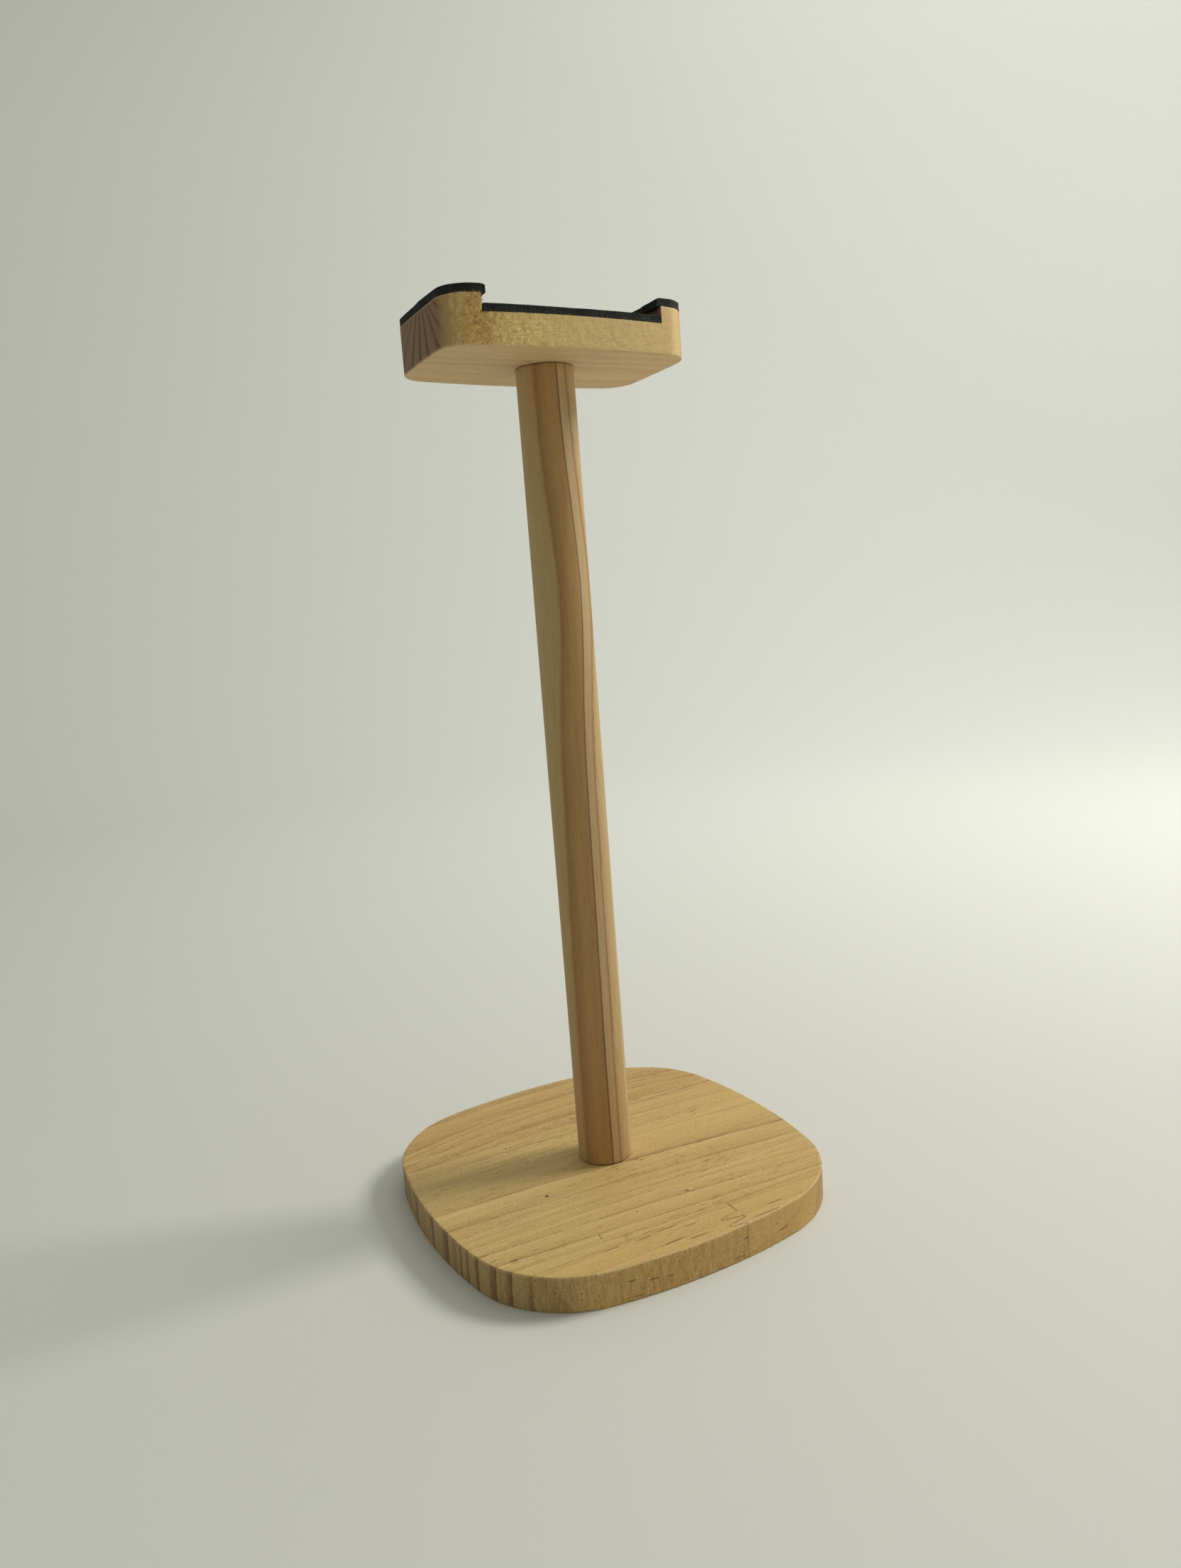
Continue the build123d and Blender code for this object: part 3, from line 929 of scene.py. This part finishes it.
def torn_front(s, facing, colour, relief):
    """Fibres torn up by the cutter: upright on the ear, crossing at its corner, lying along the front."""
    amount = s.attribute("torn")
    curl = s.add("ShaderNodeTexNoise", {"Vector": s.place, "Scale": 520.0, "Detail": 1.0}).outputs["Color"]
    curl = s.vector("MULTIPLY", s.vector("SUBTRACT", curl, (0.5,) * 3), (0.0016,) * 3)
    bent = s.vector("ADD", s.place, curl)

    def strands(degrees):
        turn = {"Vector": bent, "Angle": math.radians(degrees)}
        turned = s.add("ShaderNodeVectorRotate", turn, rotation_type="Y_AXIS").outputs[0]
        return s.noise((400, 1100, 2700), 3.0, 0.6, 0.0, turned)

    def blend(factor, a, b):
        return s.add("ShaderNodeMix", {0: factor, 2: a, 3: b}).outputs[0]

    forward = s.times(facing[1], -1.0)
    front = s.between(forward, 0.60, 0.98)
    corner = s.between(amount, 0.25, 1.0)
    height = s.add("ShaderNodeSeparateXYZ", {0: s.place}).outputs[2]
    upper = s.between(height, (CHANNEL_FLOOR - 2.0) * MM, (CHANNEL_FLOOR + 1.0) * MM)
    crossing = s.math("MAXIMUM", s.math("MAXIMUM", strands(40), strands(118)), strands(-28))
    felt = blend(upper, strands(4), strands(84))
    felt = blend(s.times(corner, 0.7), felt, s.math("SUBTRACT", crossing, 0.09))
    flecks = s.noise((1500, 1500, 2300), 2.0, 0.7)

    # Golden where torn, brown round the corner, and plainer towards the right
    colour = s.mix(s.between(forward, 0.10, 0.60, 0.0, 0.9), colour, (0.52, 0.315, 0.13))
    golden = s.times(front, s.between(amount, 0.10, 0.34, 0.25, 1.0))
    colour = s.mix(front, colour, (0.72, 0.51, 0.225))
    colour = s.mix(golden, colour, s.mix(corner, (0.79, 0.575, 0.21), (0.77, 0.50, 0.155)))
    colour = s.stain(colour, felt, 0.50, 0.66, 0.6, (1.0, 0.80, 0.38), golden, "MIX")
    # Painted shade in the hollows between the felt's strands
    hollow_shade = s.times(s.between(felt, 0.48, 0.34, 0.0, 0.9), s.between(amount, 0.1, 1.0, 0.2, 1.0))
    colour = s.shade(colour, s.times(hollow_shade, front), (0.50, 0.35, 0.19))
    # Painted glints on the palest fine flecks
    colour = s.stain(colour, flecks, 0.56, 0.70, 0.5, (1.0, 0.86, 0.50), golden, "MIX")
    colour = s.stain(colour, flecks, 0.44, 0.32, 0.6, (0.64, 0.50, 0.34), golden)
    relief = s.bump(s.times(felt, s.between(amount, 0.1, 0.9, 0.05, 1.0)), 0.0005, 1.0, relief)
    relief = s.bump(s.times(flecks, golden), 0.0001, 1.0, relief)
    return colour, relief


def pine(name, grain, rings, plain, streaky, dashes, end_tone=(0.80, 0.79, 0.93), marks=(), torn=False):
    """Bare sanded pine. grain is 0 or 2 for grain along X or Z. rings are colours through a year's growth,
    as (share of the ring, colour), and plain is the wood's colour where rings are faint."""
    s = Shader(name)

    def along(across, lengthwise):
        return tuple(lengthwise if axis == grain else across for axis in range(3))

    normal = s.add("ShaderNodeNewGeometry").outputs["Normal"]
    facing = s.add("ShaderNodeSeparateXYZ", {0: normal}).outputs
    end = s.between(s.math("ABSOLUTE", facing[grain]), 0.35, 0.98 if torn else 0.6)
    if grain == 0:
        wall = s.times(s.between(s.math("ABSOLUTE", facing[2]), 0.6, 0.3), s.attribute("sawn"))
    else:
        wall = 0.0
    lengthwise = s.math("SUBTRACT", 1.0, s.times(wall, 0.75))

    # Growth rings, a little ragged; end grain shows them more strongly and in greyer browns
    wobble = s.times(s.math("SUBTRACT", s.noise(along(420, 22), 3.0), 0.5), 0.25 * streaky)
    phase = s.math("FRACT", s.math("ADD", s.attribute("ring"), wobble))
    broken = s.between(s.noise(along(700, 34), 2.0), 0.32, 0.6, 1 - 1.8 * streaky, 1.0)
    bold = s.times(s.times(s.attribute("bold"), broken), lengthwise)
    colour = s.mix(bold, plain, s.ramp(phase, rings))
    late = s.math("ADD", s.between(phase, 0.55, 0.80, 0.0, 0.8), s.between(phase, 0.86, 0.97, 0.0, 0.3))
    late = s.times(late, s.between(s.attribute("bold"), 0.2, 0.6))
    end_colour = s.mix(late, end_tone, tuple(c * d for c, d in zip(end_tone, (0.54, 0.44, 0.40))))

    # Broad patches, streaks, single fibres and specks
    colour = s.stain(colour, s.noise(along(34, 9), 3.0), 0.35, 0.7, 0.4, (0.88, 0.83, 0.76))
    streaks = s.noise(along(900, 26), 3.0, 0.6)
    colour = s.stain(colour, streaks, 0.45, 0.75, streaky, (0.78, 0.71, 0.60), lengthwise)
    pale = s.noise(along(430, 14))
    colour = s.stain(colour, pale, 0.52, 0.75, streaky, (0.82, 0.64, 0.32), lengthwise, "MIX")
    fibres = s.noise(along(3400, 110), 2.0, 0.7)
    colour = s.stain(colour, fibres, 0.4, 0.75, 0.4, (0.74, 0.67, 0.57), lengthwise)
    specks = s.noise(along(2600, 1100), 2.0, 0.75)
    speckled = 1.0 if grain == 0 else 0.3
    colour = s.stain(colour, specks, 0.5, 0.7, 0.42 * speckled, (0.70, 0.62, 0.50))
    colour = s.stain(colour, specks, 0.48, 0.32, 0.28 * speckled, (0.84, 0.66, 0.34), None, "MIX")

    # Resin canals: short dark dashes along the grain, crowded in places
    crowd = s.between(s.noise(along(150, 22)), 0.40, 0.60)
    canals = s.between(s.noise(along(2500, 210), 1.0, 0.4), 0.64, 0.71)
    ticks = s.between(s.noise(along(4300, 560), 1.0, 0.4), 0.66, 0.74, 0.0, 0.7)
    dash = s.times(s.times(s.math("MAXIMUM", canals, ticks), crowd), dashes)
    colour = s.shade(colour, dash, (0.46, 0.33, 0.20))

    # End grain, with fine pores
    end_colour = s.stain(end_colour, s.noise(2600, 2.0), 0.4, 0.65, 0.35, (0.7, 0.68, 0.66))
    colour = s.shade(colour, end, end_colour)

    relief = s.bump(s.math("SUBTRACT", s.math("ADD", fibres, streaks), dash), 0.00005, 0.8)
    if grain == 0:
        colour, relief = sawn_walls(s, wall, facing, colour, relief)
    for places, tint, upright in marks:
        spots = s.spots(places, facing, upright)
        colour = s.mix(spots, colour, tint)
        relief = s.bump(s.math("SUBTRACT", 1.0, spots), 0.0003, 1.0, relief)

    if torn:
        colour, relief = torn_front(s, facing, colour, relief)

    # Glue lines, the painted contact shade at the post's ends, and a painted highlight along eased edges
    glue = s.times(s.attribute("glue"), s.between(s.noise(along(900, 300)), 0.3, 0.6, 0.6, 1.0))
    if grain == 0:
        glue = s.times(glue, s.between(facing[2], 0.2, 0.8, 0.5, 1.0))
    colour = s.mix(glue, colour, (0.18, 0.095, 0.03))
    # Painted highlight along eased edges and on the loose fibres
    colour = s.mix(s.times(s.attribute("edge"), 0.25), colour, (0.80, 0.62, 0.36))
    return s.finish(colour, s.between(fibres, 0.2, 0.8, 0.55, 0.72), relief, Specular_IOR_Level=0.35)


def black_foam():
    """Closed-cell foam: near black and matte, with fine cells, coarser where a knife has cut it."""
    s = Shader("black_foam")
    cells = s.add("ShaderNodeTexVoronoi", {"Vector": s.place, "Scale": 3200.0}).outputs["Distance"]
    coarse = s.add("ShaderNodeTexVoronoi", {"Vector": s.place, "Scale": 1500.0}).outputs["Distance"]
    cut = s.attribute("cut")
    cloud = s.noise(90, 3.0)
    colour = s.mix(s.between(cloud, 0.3, 0.7), (0.010, 0.010, 0.011), (0.021, 0.022, 0.021))
    colour = s.mix(s.times(cut, 0.6), colour, (0.022, 0.026, 0.020))
    colour = s.mix(s.between(s.noise(1400, 1.0), 0.74, 0.78, 0.0, 0.4), colour, (0.30, 0.27, 0.20))
    relief = s.bump(cells, 0.00008, 0.7)
    relief = s.bump(s.times(coarse, cut), 0.00016, 0.8, relief)
    return s.finish(colour, s.between(cloud, 0.2, 0.8, 0.78, 0.95), relief, Specular_IOR_Level=0.28)


def plated_metal(name, bright, dull, roughness):
    """Machined or plated metal with fine turning marks and a few dull patches."""
    s = Shader(name)
    turning = s.noise((300, 300, 5200), 2.0)
    patches = s.noise(420, 4.0, 0.6)
    colour = s.mix(s.between(patches, 0.35, 0.7), bright, dull)
    rough = s.between(patches, 0.3, 0.7, roughness, roughness + 0.18)
    rough = s.math("ADD", rough, s.times(turning, 0.08))
    return s.finish(colour, rough, s.bump(turning, 0.00003, 0.6), Metallic=1.0)


# ---- stage, light and camera

PAPER = (0.74, 0.755, 0.70)
FLOOR_RADIUS, WALL_CURVE, WALL_HEIGHT = 0.85, 1.1, 1.7
CAMERA_PLACE, CAMERA_ANGLES, CAMERA_LENS = (-0.13595, -0.26850, 0.16167), (81.754, 4.311, -28.207), 25.11
WORLD_COLOUR, WORLD_STRENGTH = (1.0, 0.99, 0.96), 0.23

# Lights in metres: name, place, target, size, watts, colour
LIGHTS = (
    ("key", (0.84, -0.20, 0.72), (0, 0, 0.08), 0.32, 7.0, (1.0, 0.98, 0.91)),
    ("overhead", (0.45, 0.05, 1.4), (0.1, 0, 0), 1.2, 3.6, (1.0, 0.99, 0.95)),
    ("backdrop", (0.75, 0.30, 1.5), (1.45, 1.25, 1.0), 1.1, 13.0, (1.0, 0.985, 0.985)),
)


def build_stage():
    """Plain pale floor that turns up into a round wall, so that every view has the same backdrop."""
    around, steps = 128, 16
    profile = [(radius, 0.0) for radius in (0.2, 0.4, 0.6, FLOOR_RADIUS)]
    for k in range(1, steps + 1):
        angle = math.pi / 2 * k / steps
        profile.append((FLOOR_RADIUS + WALL_CURVE * math.sin(angle), WALL_CURVE * (1 - math.cos(angle))))
    profile.append((FLOOR_RADIUS + WALL_CURVE, WALL_HEIGHT))
    points, walls = revolved(profile, around)
    centre = len(points)
    faces = [(centre, k, (k + 1) % around) for k in range(around)] + [face[::-1] for face in walls]
    mesh = bpy.data.meshes.new("floor")
    mesh.from_pydata(points + [(0.0, 0.0, 0.0)], [], faces)
    mesh.shade_smooth()
    paper = Shader("pale_paper").finish(Base_Color=(*PAPER, 1), Roughness=0.9, Specular_IOR_Level=0.15)
    mesh.materials.append(paper)
    placed("floor", mesh)


def area_light(name, place, target, size, watts, colour):
    """Square soft light that faces a target."""
    data = bpy.data.lights.new(name, "AREA")
    data.shape, data.size, data.energy, data.color = "SQUARE", size, watts, colour
    light = placed(name, data)
    light.location = place
    light.rotation_euler = (Vector(target) - Vector(place)).to_track_quat("-Z", "Y").to_euler()
    light.visible_camera = False


def build_light():
    for light in LIGHTS:
        area_light(*light)
    world = bpy.data.worlds.new("studio")
    world.use_nodes = True
    background = world.node_tree.nodes["Background"].inputs
    background["Color"].default_value = (*WORLD_COLOUR, 1)
    background["Strength"].default_value = WORLD_STRENGTH
    bpy.context.scene.world = world


def build_camera():
    """The view from the left front, a little above the middle, with a wide lens."""
    data = bpy.data.cameras.new("camera")
    data.lens = CAMERA_LENS
    data.clip_start = 0.01
    camera = placed("camera", data)
    camera.location = CAMERA_PLACE
    camera.rotation_euler = [math.radians(angle) for angle in CAMERA_ANGLES]
    bpy.context.scene.camera = camera


# ---- the object

MIDDLE_RINGS = ((0.0, (0.70, 0.51, 0.205)), (0.3, (0.67, 0.48, 0.185)), (0.86, (0.57, 0.385, 0.135)),
                (0.95, (0.39, 0.235, 0.075)), (0.985, (0.31, 0.17, 0.052)), (1.0, (0.66, 0.47, 0.18)))
REAR_RINGS = ((0.0, (0.66, 0.46, 0.18)), (0.3, (0.62, 0.42, 0.155)), (0.8, (0.50, 0.32, 0.105)),
              (0.95, (0.40, 0.24, 0.075)), (0.985, (0.36, 0.20, 0.065)), (1.0, (0.64, 0.44, 0.17)))
POST_RINGS = ((0.0, (0.58, 0.415, 0.22)), (0.32, (0.52, 0.35, 0.16)), (0.44, (0.37, 0.195, 0.073)),
              (0.70, (0.49, 0.295, 0.103)), (0.935, (0.45, 0.255, 0.086)), (0.965, (0.19, 0.09, 0.028)),
              (0.99, (0.59, 0.42, 0.225)))
SADDLE_RINGS = ((0.0, (0.67, 0.475, 0.24)), (0.4, (0.65, 0.455, 0.225)), (0.85, (0.56, 0.375, 0.17)),
                (0.97, (0.50, 0.32, 0.135)), (1.0, (0.66, 0.465, 0.235)))
SADDLE_END_TONE = (0.52, 0.45, 0.54)

MIDDLE_MARKS = ((PITS, (0.04, 0.023, 0.011), False), (PALE_CHIPS, (0.95, 0.78, 0.48), False))
FRONT_MARKS = ((RESIN_DASHES, (0.26, 0.145, 0.04), False), (WALL_DASHES, (0.21, 0.115, 0.035), True))

middle_pine = pine("base_middle_pine", 0, MIDDLE_RINGS, (0.65, 0.465, 0.175), 0.3, 0.9, marks=MIDDLE_MARKS)
rear_pine = pine("base_rear_pine", 0, REAR_RINGS, (0.62, 0.425, 0.16), 0.35, 0.9)
front_pine = pine("base_front_pine", 0, MIDDLE_RINGS, (0.66, 0.455, 0.165), 0.15, 0.4, marks=FRONT_MARKS)
post_pine = pine("post_pine", 2, POST_RINGS, (0.59, 0.425, 0.215), 0.06, 0.15)
saddle_pine = pine("saddle_pine", 0, SADDLE_RINGS, (0.66, 0.46, 0.23), 0.2, 0.3, SADDLE_END_TONE, torn=True)
foam = black_foam()

fingers = [y for y, _ in FINGER_CORNERS[1:-1]]
middle_rings = line_rings(MIDDLE_LINES, BASE_HALF, BASE_TOP, -0.05)
rear_rings = line_rings(REAR_LINES, BASE_HALF, BASE_TOP, 0.9)
front_rings = line_rings(FRONT_LINES, BASE_HALF, BASE_TOP, 0.5)
stave("base_stave_middle", (FRONT_GLUE_Y, REAR_GLUE_Y), base_outline.ends, middle_rings, 0.6, middle_pine,
      (FRONT_GLUE_Y, REAR_GLUE_Y), cut=screw_seat())
stave("base_stave_rear", (REAR_GLUE_Y, BASE_HALF), base_outline.ends, rear_rings, 0.7, rear_pine,
      (REAR_GLUE_Y,))
stave("base_stave_front_left", (-BASE_HALF, FRONT_GLUE_Y), left_of_joint, front_rings, 1.0, front_pine,
      (FRONT_GLUE_Y, *fingers))
stave("base_stave_front_right", (-BASE_HALF + 0.4, FRONT_GLUE_Y), right_of_joint, front_rings, 0.35,
      front_pine, (FRONT_GLUE_Y, *fingers))
build_post(post_pine)
build_saddle(saddle_pine)
build_pad("ear_pad_left", -ear_pad_high[0], -ear_pad_low[0], SADDLE_TOP, ear_pad_high[2], 1, foam, 61.0)
build_pad("ear_pad_right", ear_pad_low[0], ear_pad_high[0], SADDLE_TOP, ear_pad_high[2], -1, foam, 67.0)
build_pad("channel_pad", channel_pad_low[0], channel_pad_high[0], CHANNEL_FLOOR, channel_pad_high[2], 0,
          foam, 71.0)

steel = plated_metal("screw_steel", (0.60, 0.60, 0.61), (0.44, 0.44, 0.45), 0.28)
brass = plated_metal("insert_brass", (0.78, 0.57, 0.26), (0.62, 0.42, 0.17), 0.30)
METALS = {"base_screw": steel, "saddle_screw": steel, "post_insert_lower": brass, "post_insert_upper": brass}
for node, metal in METALS.items():
    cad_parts[node].data.materials.clear()
    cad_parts[node].data.materials.append(metal)

build_stage()
build_light()
build_camera()
bpy.context.scene.view_settings.view_transform = "Standard"
